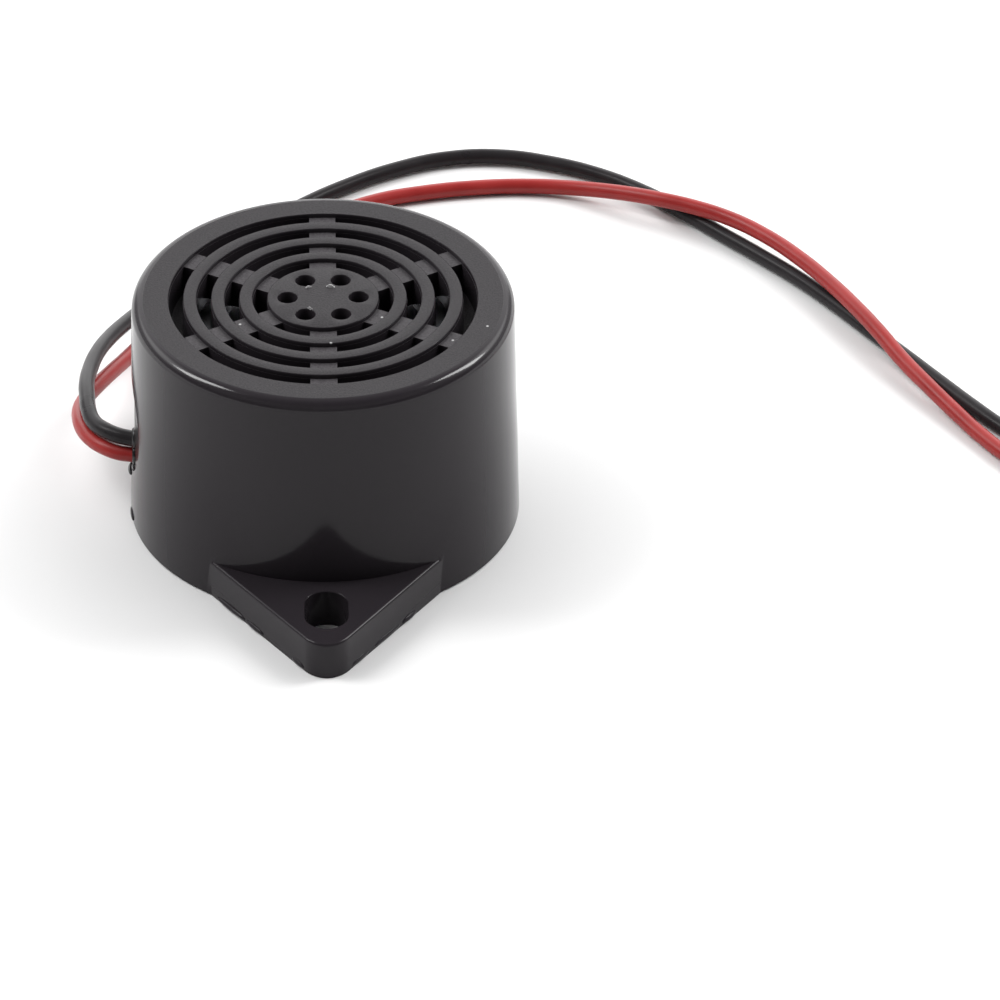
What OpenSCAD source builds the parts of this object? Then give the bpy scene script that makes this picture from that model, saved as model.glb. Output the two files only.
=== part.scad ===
// Flange-mounted piezo buzzer with two flying leads.
// Millimetres. The origin is the centre of the base, +Z points up out of the grille, the fixing
// ears lie along Y and the leads leave through the wall on the -X side.

/* [Sounder disc] */
// Diameter of the metal sounder plate, which sets the bore of the housing
plate_d = 27; // [25:0.1:29]
// Thickness of the sounder plate
plate_t = 0.25; // [0.15:0.05:0.5]
// Width of the bare metal rim round the piezo ceramic
plate_rim = 3.65; // [3:0.05:5]
// Thickness of the piezo ceramic
ceramic_t = 0.22; // [0.1:0.01:0.5]
// Room round the plate in its bore
plate_clearance = 0.15; // [0.05:0.05:0.3]
// Width of the silicone bead that holds the plate's rim
bond_w = 1.2; // [0.6:0.1:1.6]

/* [Housing] */
// Height from the base to the grille face
body_h = 19.7; // [18:0.1:26]
// Wall between bore and outside, at the grille face
wall_t = 1.45; // [1.1:0.05:3]
// Draft of the outside wall, in degrees
wall_draft = 1.4; // [0:0.1:3]
// Radius of the rounded top edge
rim_r = 0.95; // [0.4:0.05:1.2]
// Height of the sound chamber between grille and plate
chamber_h = 1.1; // [0.6:0.1:2]

/* [Grille] */
// Thickness of the grille plate
grille_t = 2.65; // [1.8:0.05:3.2]
// Diameter of the solid hub in the middle
hub_d = 8.8; // [7.6:0.1:10]
// Width of each ring slot at the top
slot_w = 1.16; // [0.8:0.02:1.4]
// Width of each rib between slots at the top
rib_w = 1.05; // [0.8:0.05:1.4]
// Number of ring slots, the outermost of them blind
slot_count = 4; // [3:1:4]
// Draft of the slot walls, in degrees
slot_draft = 2; // [0:0.5:4]
// Width of each spoke
spoke_w = 2.1; // [1.2:0.1:2.6]
// Number of spokes
spoke_count = 6; // [4:1:8]
// How far the spokes lie below the ribs
spoke_drop = 0.35; // [0.1:0.05:0.8]
// Diameter of the holes in the hub
hub_hole_d = 1.55; // [1:0.05:1.9]
// Pitch circle of the holes in the hub
hub_hole_pcd = 5.6; // [4.8:0.1:6]
// Number of holes in the hub
hub_hole_count = 6; // [3:1:6]
// How far the chamber's shoulder reaches in under the outermost rib
rib_seat = 0.5; // [0.3:0.1:0.8]

/* [Ears] */
// Thickness of the ears
ear_t = 3.2; // [2:0.1:3.8]
// Angle between the two sides of an ear, in degrees
ear_angle = 71; // [62:1:76]
// Radius of the ear's tip
ear_tip_r = 2.15; // [1.8:0.05:3]
// Width of the slotted fixing hole
fix_slot_w = 3.4; // [2.4:0.1:3.6]
// Length of the slotted fixing hole, end to end
fix_slot_l = 4.9; // [4.4:0.1:6]
// Distance from the foot of the wall to the slotted hole
fix_slot_gap = 1.2; // [0.3:0.1:2]
// Distance from the slotted hole to the ear's tip
ear_margin = 2.1; // [1.8:0.1:3]
// Chamfer round the top edge of the ears
ear_edge = 0.2; // [0.1:0.05:0.4]

/* [Lead exit] */
// Height of the lead hole's lower edge above the circuit board
exit_lift = 0.3; // [0.1:0.1:1]
// Wall between the lead hole's upper edge and the silicone bead on the plate
exit_margin = 1.3; // [0.6:0.1:3]
// How far the sealing compound lies below the wall's outside
seal_recess = 0.25; // [0.1:0.05:0.6]
// How far the sealing compound stands out inside the bore
seal_depth = 0.8; // [0.2:0.1:1.5]
// Wall of sealing compound under the lower lead
seal_lip = 0.3; // [0.1:0.1:1]

/* [Leads] */
// Diameter over the insulation
lead_d = 1.3; // [1:0.05:1.6]
// Diameter of the tinned conductor
strand_d = 0.5; // [0.3:0.05:0.7]
// Length of the bare far ends
strip_l = 5; // [3:0.5:8]
// Place of the red lead across the lead hole
red_y = -0.4; // [-1.5:0.1:1.5]
// Place of the black lead across the lead hole
black_y = -0.2; // [-1.5:0.1:1.5]
// Gap between the two leads in the lead hole, one above the other
lead_gap = 0.1; // [0.05:0.05:0.5]
// Angle at which the red lead leaves towards the back, in degrees
red_swing = 16; // [8:1:20]
// Angle at which the black lead leaves towards the back, in degrees
black_swing = 22; // [16:1:26]
// Length of the red lead's insulation inside the wall
red_root_l = 7.4; // [6:0.1:8]
// Length of the black lead's insulation inside the wall
black_root_l = 10.4; // [9.5:0.1:11]
// Straight length of a bare inner end before its bend
core_straight = 0.8; // [0.4:0.1:1.2]
// Radius of the bends in bare wire
wire_bend = 1; // [0.8:0.1:1.2]

/* [Circuit board] */
// Thickness of the circuit board
board_t = 1.2; // [0.8:0.1:1.6]
// How far the board's bore is wider than the disc's, all round
board_step = 0.55; // [0.4:0.05:0.7]
// Room round the board in its bore
board_clearance = 0.15; // [0.05:0.05:0.25]
// Thickness of the potting compound below the board
potting_t = 2.2; // [1.2:0.1:3]
// How far the potting lies above the base
potting_recess = 0.5; // [0.2:0.1:1]
// Room round a wire in its hole in the board
hole_clearance = 0.1; // [0.05:0.05:0.2]
// Width of a solder joint on the board
joint_d = 1.4; // [1.1:0.1:1.5]
// Height of a solder joint
joint_h = 0.7; // [0.4:0.1:1]
// Diameter of the component legs
leg_d = 0.5; // [0.3:0.05:0.6]

/* [Choke] */
// Diameter of the ferrite drum
drum_d = 8; // [6:0.1:8.4]
// Height of the ferrite drum
drum_h = 8; // [6:0.1:9.5]
// Thickness of the drum's flanges
flange_t = 1.2; // [0.8:0.1:1.8]
// Diameter of the drum's shank
shank_d = 3.2; // [2.4:0.1:4]
// How far the winding lies below the flange's edge
winding_drop = 0.4; // [0.1:0.1:1]
// Pitch circle of the choke's pins
pin_pcd = 5; // [4:0.1:5.6]

/* [Transistor] */
// Diameter of the transistor's round back
transistor_d = 4.6; // [4:0.1:5]
// Distance from its axis to its flat face
transistor_flat = 1.3; // [1:0.1:1.6]
// Height of the transistor's body
transistor_h = 4.7; // [4:0.1:5.2]
// Height of the transistor above the board
transistor_lift = 2.5; // [1.5:0.1:4]
// Spacing of the transistor's legs
transistor_pitch = 1.5; // [1.5:0.02:1.7]

/* [Resistors and diode] */
// Diameter of a resistor's end caps
cap_d = 1.9; // [1.6:0.1:2.2]
// Length of a resistor's end cap
cap_l = 0.9; // [0.6:0.1:1.2]
// Diameter of a resistor between its caps
resistor_d = 1.6; // [1.2:0.1:1.6]
// Length of a resistor
resistor_l = 3.4; // [3:0.1:4]
// Diameter of the diode
diode_d = 1.8; // [1.4:0.1:2.2]
// Length of the diode
diode_l = 3.6; // [3:0.1:4]
// Straight leg between a component and its bend
leg_straight = 0.8; // [0.4:0.1:1]
// Height of a lying component's axis above the board
lying_h = 1.5; // [1.3:0.1:2]

/* [Fine wires] */
// Diameter of the fine wires to the sounder disc
fine_d = 0.6; // [0.3:0.05:0.8]
// Width of a solder dot on the sounder disc
dot_d = 1.2; // [0.9:0.1:1.4]
// Height of a solder dot on the sounder disc
dot_h = 0.5; // [0.3:0.1:0.8]
// Sideways slack of a fine wire
fine_slack = 1.4; // [0.6:0.1:2]

/* [Hidden] */
$fn = 96;

// A cut runs this far past the face that it opens
cut = 0.2;

// Radii of the housing
bore_r = plate_d / 2 + plate_clearance;
board_bore_r = bore_r + board_step;
top_r = bore_r + wall_t;
base_r = top_r + body_h * tan(wall_draft);
function wall_r(z) = base_r - z * tan(wall_draft);

// The rim's fillet touches the drafted wall and the grille face
rim_z = body_h - rim_r;
rim_x = wall_r(rim_z) - rim_r / cos(wall_draft);

// Heights of the stack above the base
board_z = potting_recess + potting_t;
board_top = board_z + board_t;
grille_z = body_h - grille_t;
shoulder_z = grille_z - chamber_h;
plate_z = shoulder_z - plate_t;
ceramic_z = plate_z - ceramic_t;
ceramic_d = plate_d - 2 * plate_rim;

// Ring slots are counted from the hub outwards
slot_pitch = slot_w + rib_w;
function slot_in_r(i) = hub_d / 2 + i * slot_pitch;
last_slot = slot_count - 1;
chamber_r = slot_in_r(last_slot) - rib_seat;

// An ear points along X until it is turned to its place
ear_half = ear_angle / 2;
slot_mid = base_r + fix_slot_gap + fix_slot_l / 2;
tip_x = base_r + fix_slot_gap + fix_slot_l + ear_margin - ear_tip_r;
apex_x = tip_x + ear_tip_r / sin(ear_half);
tangent_x = tip_x + ear_tip_r * sin(ear_half);
tangent_y = ear_tip_r * cos(ear_half);
ear_root_x = base_r / 2;
ear_root_y = (apex_x - ear_root_x) * tan(ear_half);
ear_side_l = (tangent_x - ear_root_x) / cos(ear_half);

// The lead hole fills the wall between board and bead, and the leads lie in its lower part
exit_low = board_top + exit_lift;
exit_d = plate_z - bond_w - exit_margin - exit_low;
exit_z = exit_low + exit_d / 2;
exit_x = wall_r(exit_z);
red_z = exit_low + seal_lip + lead_d / 2;
black_z = red_z + lead_d + lead_gap;
red_start = [-exit_x, red_y, red_z];
black_start = [-exit_x, black_y, black_z];

// Places on the board, as shares of the bore
choke_at = bore_r * [0.38, 0];
transistor_at = bore_r * [-0.11, 0.51];
resistor_at = bore_r * [[-0.27, -0.51], [-0.27, -0.72]];
diode_at = bore_r * [0.44, -0.56];
plate_pad = bore_r * [0.22, 0.76];
drive_pad = bore_r * [0.47, 0.54];
feedback_pad = bore_r * [0.7, 0.37];

// Places on the disc: one dot on the bare rim between ceramic and bead, two on the ceramic
plate_dot = (ceramic_d / 2 + bore_r - bond_w) / 2 * unit([1, 3]);
drive_dot = ceramic_d / 2 * [0.41, 0.55];
feedback_dot = ceramic_d / 2 * [0.81, 0.35];

// Pads on the board: one for each wire end that goes through it
pin_turns = [60, 180, 300];
function pin_at(turn) = choke_at + pin_pcd / 2 * [cos(turn), sin(turn)];
function leg_reach(l) = l / 2 + leg_straight + wire_bend;
transistor_pads = [for (k = [-1, 0, 1]) transistor_at + [k * transistor_pitch, 0]];
lying_pads = concat(
    [for (p = resistor_at, s = [-1, 1]) p + [s * leg_reach(resistor_l), 0]],
    [for (s = [-1, 1]) diode_at + [s * leg_reach(diode_l), 0]]
);
pin_pads = [for (t = pin_turns) pin_at(t)];
leg_pads = concat(transistor_pads, lying_pads, pin_pads);
function core_pad(y, swing, root_l) =
    [-exit_x, y] + (root_l + core_straight + wire_bend) * [cos(swing), -sin(swing)];
core_pads = [
    core_pad(red_y, red_swing, red_root_l),
    core_pad(black_y, black_swing, black_root_l)
];
fine_pads = [plate_pad, drive_pad, feedback_pad];
all_pads = concat(leg_pads, core_pads, fine_pads);

// Routes of the free leads, from the lead hole round behind the housing and off to the right:
// each starts straight on from its root
lead_start = 1.2;
red_route = [
    red_start, red_start + lead_start * [-cos(red_swing), sin(red_swing), 0],
    [-17.6, 0.6, 5.2], [-18.6, 1.8, 5.1], [-19.3, 3.4, 4.9], [-19.7, 5.5, 4.6],
    [-19.7, 7.9, 4.1], [-19.2, 10.3, 3.6], [-18.4, 12.7, 3.1], [-17.4, 15.4, 2.5],
    [-16.3, 18.3, 1.8], [-14.9, 21.6, 1.2], [-12.9, 25.2, 0.8], [-10.4, 29.2, 0.7],
    [-7.4, 33.4, 0.7], [-3.9, 37.6, 0.7], [0.2, 41.2, 0.7], [4.6, 43.9, 0.7],
    [8.8, 45.2, 0.7], [13, 45.9, 0.7], [17.2, 46.1, 0.7], [21.4, 45.4, 0.9],
    [25.2, 43.7, 1.5], [28.6, 41.8, 2], [31.6, 40.3, 2.1], [34.6, 38.4, 2.1],
    [37.6, 35.5, 2.1], [40.2, 32, 2.1], [42.3, 28.5, 2.1], [44.1, 25, 2.1],
    [45.9, 21.3, 1.95], [47.7, 17.6, 1.5], [49.6, 14.1, 1.2], [51.5, 10.8, 0.9],
    [53.5, 7.4, 0.7], [55.7, 4.1, 0.7], [58.3, 1.2, 0.7], [61.4, -1.3, 0.7],
    [64.6, -3.2, 0.7], [69.4, -5.1, 0.7]
];
black_route = [
    black_start, black_start + lead_start * [-cos(black_swing), sin(black_swing), 0],
    [-17.5, 1, 6.55], [-18.4, 2.3, 6.4], [-18.9, 4.1, 6.3], [-19.1, 6.4, 6.1],
    [-19.2, 9, 5.7], [-19, 12, 5.1], [-18.5, 15.4, 4.4], [-17.6, 19, 3.5],
    [-16.3, 22.6, 2.6], [-14.6, 26.4, 1.7], [-12.4, 30.4, 1], [-9.7, 34.4, 0.7],
    [-6.4, 38.6, 0.7], [-2.4, 42.7, 0.7], [2, 46.3, 0.7], [6.6, 49.1, 0.7],
    [11, 50.7, 0.7], [15.4, 50.9, 0.7], [19.6, 49.8, 0.7], [23.6, 47.9, 0.7],
    [27.4, 45.1, 0.7], [30.8, 41.7, 0.7], [34, 38.1, 0.7], [37.2, 34.5, 0.7],
    [40.2, 30.9, 0.7], [42.9, 27.1, 0.7], [45.5, 23.1, 0.7], [48.1, 19.2, 0.7],
    [50.6, 15.4, 0.7], [53, 11.8, 0.7], [55.5, 8.3, 0.7], [58.1, 5.2, 0.7],
    [61.1, 2.5, 0.7], [64.2, 0.6, 0.7], [67.1, -0.6, 0.7]
];

// Colours
housing_black = "#2b292b";
compound_black = "#1d1c1d";
board_brown = "#8a6a3a";
solder_grey = "#b9bcbf";
ferrite_grey = "#3a3a3c";
copper = "#b0643a";
nickel = "#b8b6b0";
ceramic_ivory = "#d9d2bf";
silicone_white = "#d8d8d4";
resistor_tan = "#c9a878";
diode_orange = "#b5562c";
lead_red = "#a8322f";
lead_black = "#2d2b2c";

// A tube of eight sides swept along a list of points
tube_sides = 8;
function unit(v) = v / norm(v);
function heading(path, i) =
    unit(path[min(i + 1, len(path) - 1)] - path[max(i - 1, 0)]);
function tube_ring(path, i, r, up) =
    let (
        along = heading(path, i),
        side = unit(cross(along, up)),
        over = cross(side, along)
    )
    [for (k = [0:tube_sides - 1])
        let (a = 360 * (k + 0.5) / tube_sides)
        path[i] + r * (cos(a) * side + sin(a) * over)];

module tube(path, d, up = [0, 0, 1]) {
    n = tube_sides;
    rings = len(path);
    points = [for (i = [0:rings - 1]) each tube_ring(path, i, d / 2, up)];
    walls = [
        for (i = [0:rings - 2], k = [0:n - 1])
            let (
                a = i * n + k,
                b = i * n + (k + 1) % n
            )
            each [[a, b, b + n], [a, b + n, a + n]]
    ];
    first_cap = [[for (k = [n - 1:-1:0]) k]];
    last_cap = [[for (k = [0:n - 1]) (rings - 1) * n + k]];
    polyhedron(points, concat(walls, first_cap, last_cap));
}

// A straight round bar from one point to another
module bar(from, to, d) {
    run = to - from;
    flat = norm([run.x, run.y]);
    translate(from)
        rotate([0, atan2(flat, run.z), atan2(run.y, run.x)])
            cylinder(d = d, h = norm(run));
}

// A wire that runs along X from a point, bends and goes down: sign is the way it runs
module bent_wire(start, sign, straight, low_z, d) {
    bend_at = start + [sign * straight, 0, 0];
    corner = bend_at + [0, 0, -wire_bend];
    union() {
        bar(start, bend_at, d);
        translate(corner)
            rotate([90, 0, sign > 0 ? 0 : 180])
                rotate_extrude(angle = 90)
                    translate([wire_bend, 0])
                        circle(d = d);
        bar([corner.x + sign * wire_bend, corner.y, low_z],
            [corner.x + sign * wire_bend, corner.y, corner.z], d);
    }
}

// Outside of the housing's drum, as a profile to revolve
module drum_profile() {
    polygon([
        [0, 0],
        [base_r, 0],
        [rim_x + rim_r * cos(wall_draft), rim_z + rim_r * sin(wall_draft)],
        [rim_x, rim_z],
        [rim_x, body_h],
        [0, body_h]
    ]);
    translate([rim_x, rim_z])
        circle(r = rim_r);
}

// One ear before its slotted hole is cut
module ear_plate() {
    difference() {
        linear_extrude(ear_t) {
            polygon([
                [ear_root_x, -ear_root_y],
                [tangent_x, -tangent_y],
                [tip_x, 0],
                [tangent_x, tangent_y],
                [ear_root_x, ear_root_y]
            ]);
            translate([tip_x, 0])
                circle(r = ear_tip_r);
        }
        for (s = [-1, 1])
            translate([tangent_x, s * tangent_y, ear_t])
                rotate([0, 0, 180 - s * ear_half])
                    rotate([45, 0, 0])
                        translate([0, -ear_edge / sqrt(2), -ear_edge / sqrt(2)])
                            cube([ear_side_l, ear_edge * sqrt(2), ear_edge * sqrt(2)]);
        translate([tip_x, 0, ear_t])
            rotate([0, 0, ear_half - 90])
                rotate_extrude(angle = 180 - ear_angle)
                    translate([ear_tip_r, 0])
                        polygon([[-ear_edge, 0], [0, -ear_edge], [ear_edge, 0], [0, ear_edge]]);
    }
}

module fix_slot() {
    half_run = (fix_slot_l - fix_slot_w) / 2;
    for (s = [-1, 1])
        translate([slot_mid + s * half_run, 0, -cut])
            cylinder(d = fix_slot_w, h = ear_t + 2 * cut);
    translate([slot_mid - half_run, -fix_slot_w / 2, -cut])
        cube([2 * half_run, fix_slot_w, ear_t + 2 * cut]);
}

// One ring slot over its full depth, with drafted walls and the spokes left standing
module ring_slot(i) {
    depth = grille_t + (i < last_slot ? cut : 0);
    lean = depth * tan(slot_draft);
    inner = slot_in_r(i);
    outer = inner + slot_w;
    difference() {
        rotate_extrude()
            polygon([
                [inner, body_h + cut],
                [inner, body_h],
                [inner + lean, body_h - depth],
                [outer - lean, body_h - depth],
                [outer, body_h],
                [outer, body_h + cut]
            ]);
        for (k = [0:spoke_count - 1])
            rotate([0, 0, 90 + k * 360 / spoke_count])
                translate([0, -spoke_w / 2, body_h - depth - cut])
                    cube([outer + slot_w, spoke_w, depth + 3 * cut]);
    }
}

// The shallow part of a ring slot runs right round, over the spokes
module ring_groove(i) {
    translate([0, 0, body_h - spoke_drop])
        difference() {
            cylinder(r = slot_in_r(i) + slot_w, h = spoke_drop + cut);
            translate([0, 0, -cut])
                cylinder(r = slot_in_r(i), h = spoke_drop + 3 * cut);
        }
}

module hub_holes() {
    for (k = [0:hub_hole_count - 1])
        rotate([0, 0, k * 360 / hub_hole_count])
            translate([hub_hole_pcd / 2, 0, grille_z - cut])
                cylinder(d = hub_hole_d, h = grille_t + 2 * cut);
}

module exit_bore(from_r) {
    translate([-from_r, 0, exit_z])
        rotate([0, -90, 0])
            cylinder(d = exit_d, h = base_r + cut - from_r);
}

module housing() {
    color(housing_black)
        difference() {
            union() {
                rotate_extrude()
                    drum_profile();
                for (turn = [90, 270])
                    rotate([0, 0, turn])
                        ear_plate();
            }
            for (turn = [90, 270])
                rotate([0, 0, turn])
                    fix_slot();
            translate([0, 0, -cut])
                cylinder(r = board_bore_r, h = board_top + cut);
            cylinder(r = bore_r, h = shoulder_z);
            cylinder(r = chamber_r, h = grille_z);
            for (i = [0:last_slot]) {
                ring_slot(i);
                ring_groove(i);
            }
            hub_holes();
            exit_bore(bore_r - wall_t);
        }
}

// The line of a lead through the wall: its origin is the lead's start, and X points inwards
module lead_line(start, swing) {
    translate(start)
        rotate([0, 0, -swing])
            children();
}

// Compound in the lead hole, a little below the wall's outside
module lead_seal() {
    seal_in_r = bore_r - seal_depth;
    color(compound_black)
        difference() {
            intersection() {
                exit_bore(seal_in_r / 2);
                difference() {
                    cylinder(r1 = base_r - seal_recess, r2 = top_r - seal_recess, h = body_h);
                    translate([0, 0, -cut])
                        cylinder(r = seal_in_r, h = body_h + 2 * cut);
                }
            }
            lead_line(red_start, red_swing)
                bar([-lead_d, 0, 0], [red_root_l, 0, 0], lead_d);
            lead_line(black_start, black_swing)
                bar([-lead_d, 0, 0], [black_root_l, 0, 0], lead_d);
        }
}

module potting() {
    color(compound_black)
        difference() {
            translate([0, 0, potting_recess])
                cylinder(r = board_bore_r, h = potting_t);
            solder_cones();
        }
}

module board_hole(at, d) {
    translate([at.x, at.y, board_z - cut])
        cylinder(d = d + 2 * hole_clearance, h = board_t + 2 * cut);
}

module circuit_board() {
    color(board_brown)
        difference() {
            translate([0, 0, board_z])
                cylinder(r = board_bore_r - board_clearance, h = board_t);
            for (p = leg_pads)
                board_hole(p, leg_d);
            for (p = core_pads)
                board_hole(p, strand_d);
            for (p = fine_pads)
                board_hole(p, fine_d);
        }
}

module solder_cones() {
    for (p = all_pads)
        translate([p.x, p.y, board_z - joint_h])
            cylinder(d1 = joint_d / 2, d2 = joint_d, h = joint_h);
}

module solder_joints() {
    color(solder_grey)
        solder_cones();
}

module choke_core() {
    color(ferrite_grey)
        translate([choke_at.x, choke_at.y, board_top]) {
            cylinder(d = drum_d, h = flange_t);
            cylinder(d = shank_d, h = drum_h);
            translate([0, 0, drum_h - flange_t])
                cylinder(d = drum_d, h = flange_t);
        }
}

module choke_winding() {
    color(copper)
        translate([choke_at.x, choke_at.y, board_top + flange_t])
            difference() {
                cylinder(d = drum_d - 2 * winding_drop, h = drum_h - 2 * flange_t);
                translate([0, 0, -cut])
                    cylinder(d = shank_d, h = drum_h);
            }
}

module choke_pins() {
    color(solder_grey)
        for (p = pin_pads)
            translate([p.x, p.y, board_z])
                cylinder(d = leg_d, h = board_t);
}

module transistor() {
    color(housing_black)
        translate([transistor_at.x, transistor_at.y, board_top + transistor_lift])
            difference() {
                cylinder(d = transistor_d, h = transistor_h);
                translate([-transistor_d, transistor_flat, -cut])
                    cube([2 * transistor_d, transistor_d, transistor_h + 2 * cut]);
            }
}

// A round body that lies along X, with its axis at the height of its legs
module lying_body(at, d, l) {
    translate([at.x - l / 2, at.y, board_top + lying_h])
        rotate([0, 90, 0])
            cylinder(d = d, h = l);
}

module resistors() {
    color(resistor_tan)
        for (p = resistor_at) {
            lying_body(p, resistor_d, resistor_l);
            for (s = [-1, 1])
                lying_body(p + [s * (resistor_l - cap_l) / 2, 0], cap_d, cap_l);
        }
}

module diode() {
    color(diode_orange)
        lying_body(diode_at, diode_d, diode_l);
}

module lying_legs(at, l) {
    for (s = [-1, 1])
        bent_wire([at.x + s * l / 2, at.y, board_top + lying_h], s, leg_straight, board_z, leg_d);
}

module component_legs() {
    color(solder_grey) {
        for (p = transistor_pads)
            translate([p.x, p.y, board_z])
                cylinder(d = leg_d, h = board_t + transistor_lift);
        for (p = resistor_at)
            lying_legs(p, resistor_l);
        lying_legs(diode_at, diode_l);
    }
}

module sounder_plate() {
    color(nickel)
        translate([0, 0, plate_z])
            cylinder(d = plate_d, h = plate_t);
}

module sounder_ceramic() {
    color(ceramic_ivory)
        translate([0, 0, ceramic_z])
            cylinder(d = ceramic_d, h = ceramic_t);
}

// A fillet of silicone in the corner between plate and bore
module disc_bond() {
    color(silicone_white)
        rotate_extrude()
            polygon([
                [bore_r, plate_z],
                [bore_r, plate_z - bond_w],
                [bore_r - bond_w, plate_z]
            ]);
}

module disc_dot(at, z) {
    translate([at.x, at.y, z - dot_h])
        cylinder(d1 = dot_d / 2, d2 = dot_d, h = dot_h);
}

module disc_solder() {
    color(solder_grey) {
        disc_dot(plate_dot, plate_z);
        disc_dot(drive_dot, ceramic_z);
        disc_dot(feedback_dot, ceramic_z);
    }
}

// A fine wire rises from the board, swings out and ends upright at its solder dot: each step is
// a share of the rise, of the way across and of the slack
fine_steps = [
    [0, 0, 0], [0.08, 0, 0], [0.2, 0.1, 0.3], [0.38, 0.35, 0.85], [0.52, 0.55, 1],
    [0.66, 0.75, 0.8], [0.8, 0.93, 0.3], [0.92, 1, 0], [1, 1, 0]
];
module fine_wire(pad, dot, top_z) {
    rise = top_z - dot_h - board_top;
    out = fine_slack * unit(pad);
    path = concat(
        [[pad.x, pad.y, board_z]],
        [for (step = fine_steps)
            let (across = pad + step[1] * (dot - pad) + step[2] * out)
            [across.x, across.y, board_top + step[0] * rise]]
    );
    tube(path, fine_d, [pad.y, -pad.x, 0]);
}

module plate_wire() {
    color(lead_black)
        fine_wire(plate_pad, plate_dot, plate_z);
}

module drive_wire() {
    color(lead_red)
        fine_wire(drive_pad, drive_dot, ceramic_z);
}

module feedback_wire() {
    color(silicone_white)
        fine_wire(feedback_pad, feedback_dot, ceramic_z);
}

module red_lead_root() {
    color(lead_red)
        lead_line(red_start, red_swing)
            bar([0, 0, 0], [red_root_l, 0, 0], lead_d);
}

module black_lead_root() {
    color(lead_black)
        lead_line(black_start, black_swing)
            bar([0, 0, 0], [black_root_l, 0, 0], lead_d);
}

module lead_cores() {
    color(solder_grey) {
        lead_line(red_start, red_swing)
            bent_wire([red_root_l, 0, 0], 1, core_straight, board_z - red_z, strand_d);
        lead_line(black_start, black_swing)
            bent_wire([black_root_l, 0, 0], 1, core_straight, board_z - black_z, strand_d);
    }
}

module red_lead() {
    color(lead_red)
        tube(red_route, lead_d);
}

module black_lead() {
    color(lead_black)
        tube(black_route, lead_d);
}

// The bare end goes on the way that its lead was heading
module lead_tip(route) {
    last = len(route) - 1;
    color(solder_grey)
        bar(route[last], route[last] + strip_l * heading(route, last), strand_d);
}

module red_lead_tip() {
    lead_tip(red_route);
}

module black_lead_tip() {
    lead_tip(black_route);
}

housing();
lead_seal();
potting();
circuit_board();
solder_joints();
choke_core();
choke_winding();
choke_pins();
transistor();
resistors();
diode();
component_legs();
sounder_plate();
sounder_ceramic();
disc_bond();
disc_solder();
plate_wire();
drive_wire();
feedback_wire();
red_lead_root();
black_lead_root();
lead_cores();
red_lead();
black_lead();
red_lead_tip();
black_lead_tip();
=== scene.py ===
import bpy
import math
from mathutils import Matrix, Vector


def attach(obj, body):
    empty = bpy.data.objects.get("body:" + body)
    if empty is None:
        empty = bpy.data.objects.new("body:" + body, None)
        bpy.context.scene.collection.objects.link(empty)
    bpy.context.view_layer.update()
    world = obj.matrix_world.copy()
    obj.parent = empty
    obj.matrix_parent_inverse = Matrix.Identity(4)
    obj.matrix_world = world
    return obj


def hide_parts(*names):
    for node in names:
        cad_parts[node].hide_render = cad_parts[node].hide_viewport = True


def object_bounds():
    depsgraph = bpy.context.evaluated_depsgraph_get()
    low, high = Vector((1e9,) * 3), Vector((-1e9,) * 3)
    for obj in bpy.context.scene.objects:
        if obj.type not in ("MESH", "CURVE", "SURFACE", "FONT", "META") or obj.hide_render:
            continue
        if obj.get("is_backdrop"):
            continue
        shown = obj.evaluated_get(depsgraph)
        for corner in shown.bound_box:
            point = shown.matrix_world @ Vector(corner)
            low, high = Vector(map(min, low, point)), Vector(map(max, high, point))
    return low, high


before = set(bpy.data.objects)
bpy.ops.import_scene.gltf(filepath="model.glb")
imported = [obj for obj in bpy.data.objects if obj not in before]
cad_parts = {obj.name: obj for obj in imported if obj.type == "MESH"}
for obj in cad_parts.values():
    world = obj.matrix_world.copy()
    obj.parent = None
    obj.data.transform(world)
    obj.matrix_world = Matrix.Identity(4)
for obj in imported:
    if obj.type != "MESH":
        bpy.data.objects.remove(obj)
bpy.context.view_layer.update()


# Camera: a long lens on the front ear's side, looking down on the grille.
# It stands more than half a metre from the buzzer and is turned very slightly.
MM = 0.001
CAMERA_PLACE = Vector((0.01, -461.85, 322.08)) * MM
CAMERA_YAW = 0.0304
CAMERA_PITCH = 0.6087
CAMERA_ROLL = 0.0065
camera_data = bpy.data.cameras.new("camera")
camera_data.sensor_width = 36
camera_data.lens = 252
camera = bpy.data.objects.new("camera", camera_data)
bpy.context.collection.objects.link(camera)
camera.matrix_world = (
    Matrix.Translation(CAMERA_PLACE)
    @ Matrix.Rotation(-CAMERA_YAW, 4, "Z")
    @ Matrix.Rotation(math.pi / 2 - CAMERA_PITCH, 4, "X")
    @ Matrix.Rotation(CAMERA_ROLL, 4, "Z")
)
bpy.context.scene.camera = camera


# Flying leads: stranded tinned copper in a skin of smooth PVC, one red and one black.
# They come out of the wall one above the other and lie in a loose arc on the table,
# and their far ends are stripped, twisted and tinned.
LEAD_D = 1.3 * MM
STRIP_LENGTH = 5 * MM
STRANDS = 7
STRAND_D = 0.166 * MM
STRAND_TURN = 7 * MM
STRAND_STEPS = 24
STRAND_SMOOTH = math.radians(50)
NOISE_LOW = 0.3
NOISE_HIGH = 0.7
GRAIN_STRENGTH = 0.3


def new_material(name):
    material = bpy.data.materials.new(name)
    material.use_nodes = True
    tree = material.node_tree
    return material, tree, tree.nodes["Principled BSDF"]


def node(tree, kind, values=None, **settings):
    made = tree.nodes.new(kind)
    for key, value in settings.items():
        setattr(made, key, value)
    for key, value in (values or {}).items():
        made.inputs[key].default_value = value
    return made


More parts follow.
